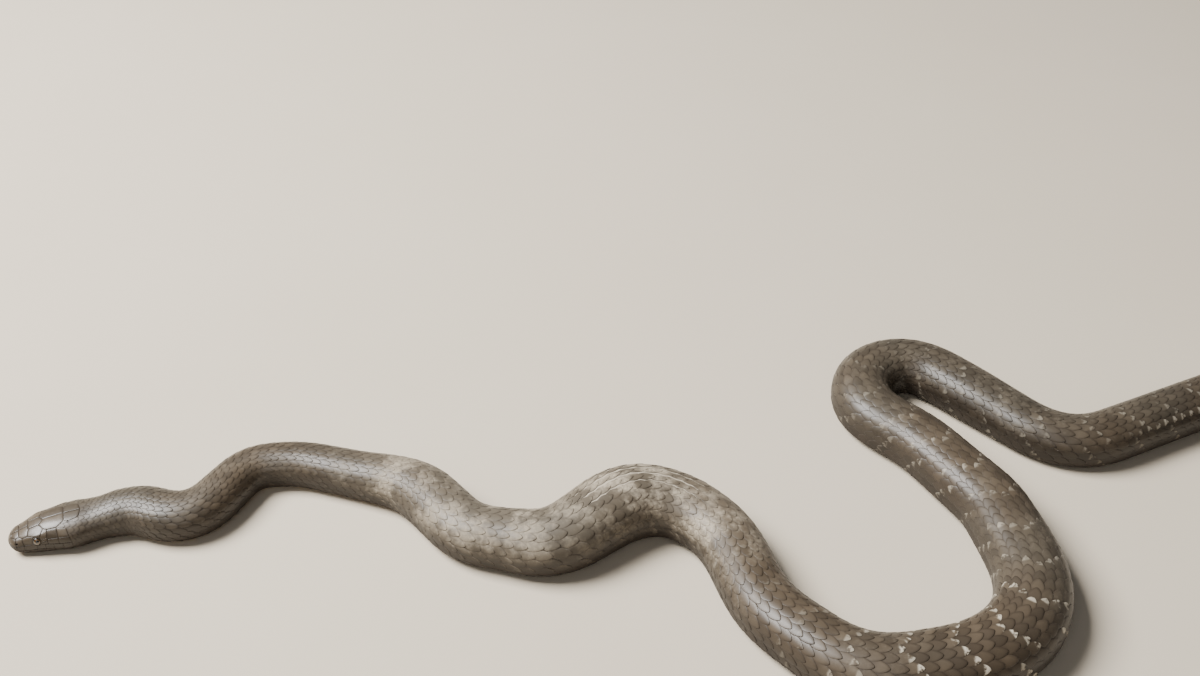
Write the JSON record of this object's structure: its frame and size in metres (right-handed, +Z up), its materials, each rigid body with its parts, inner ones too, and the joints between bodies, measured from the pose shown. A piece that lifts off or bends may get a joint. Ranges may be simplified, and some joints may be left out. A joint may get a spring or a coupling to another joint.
{
  "type": "king cobra",
  "caption": "Life-size king cobra lying still in loose bends, with shielded head, open eyes and a long tapering tail.",
  "frame": {"origin": "middle of the bounding box, on the floor that the belly rests on", "axes": "+X along the length of the pose, from the head towards the tail; +Y away from the picture's camera; +Z up from the floor"},
  "size_m": [2.1297, 0.5426, 0.0669],
  "materials": {
    "skin": "satin scales",
    "eye": "wet gloss"
  },
  "bodies": {
    "root": {"head": "skin", "eye_left": "eye", "eye_right": "eye", "neck": "skin", "body_1": "skin", "body_2": "skin", "body_3": "skin", "body_4": "skin", "body_5": "skin", "body_6": "skin", "body_7": "skin", "body_8": "skin", "body_9": "skin", "tail_1": "skin", "tail_2": "skin"}
  },
  "joints": []
}
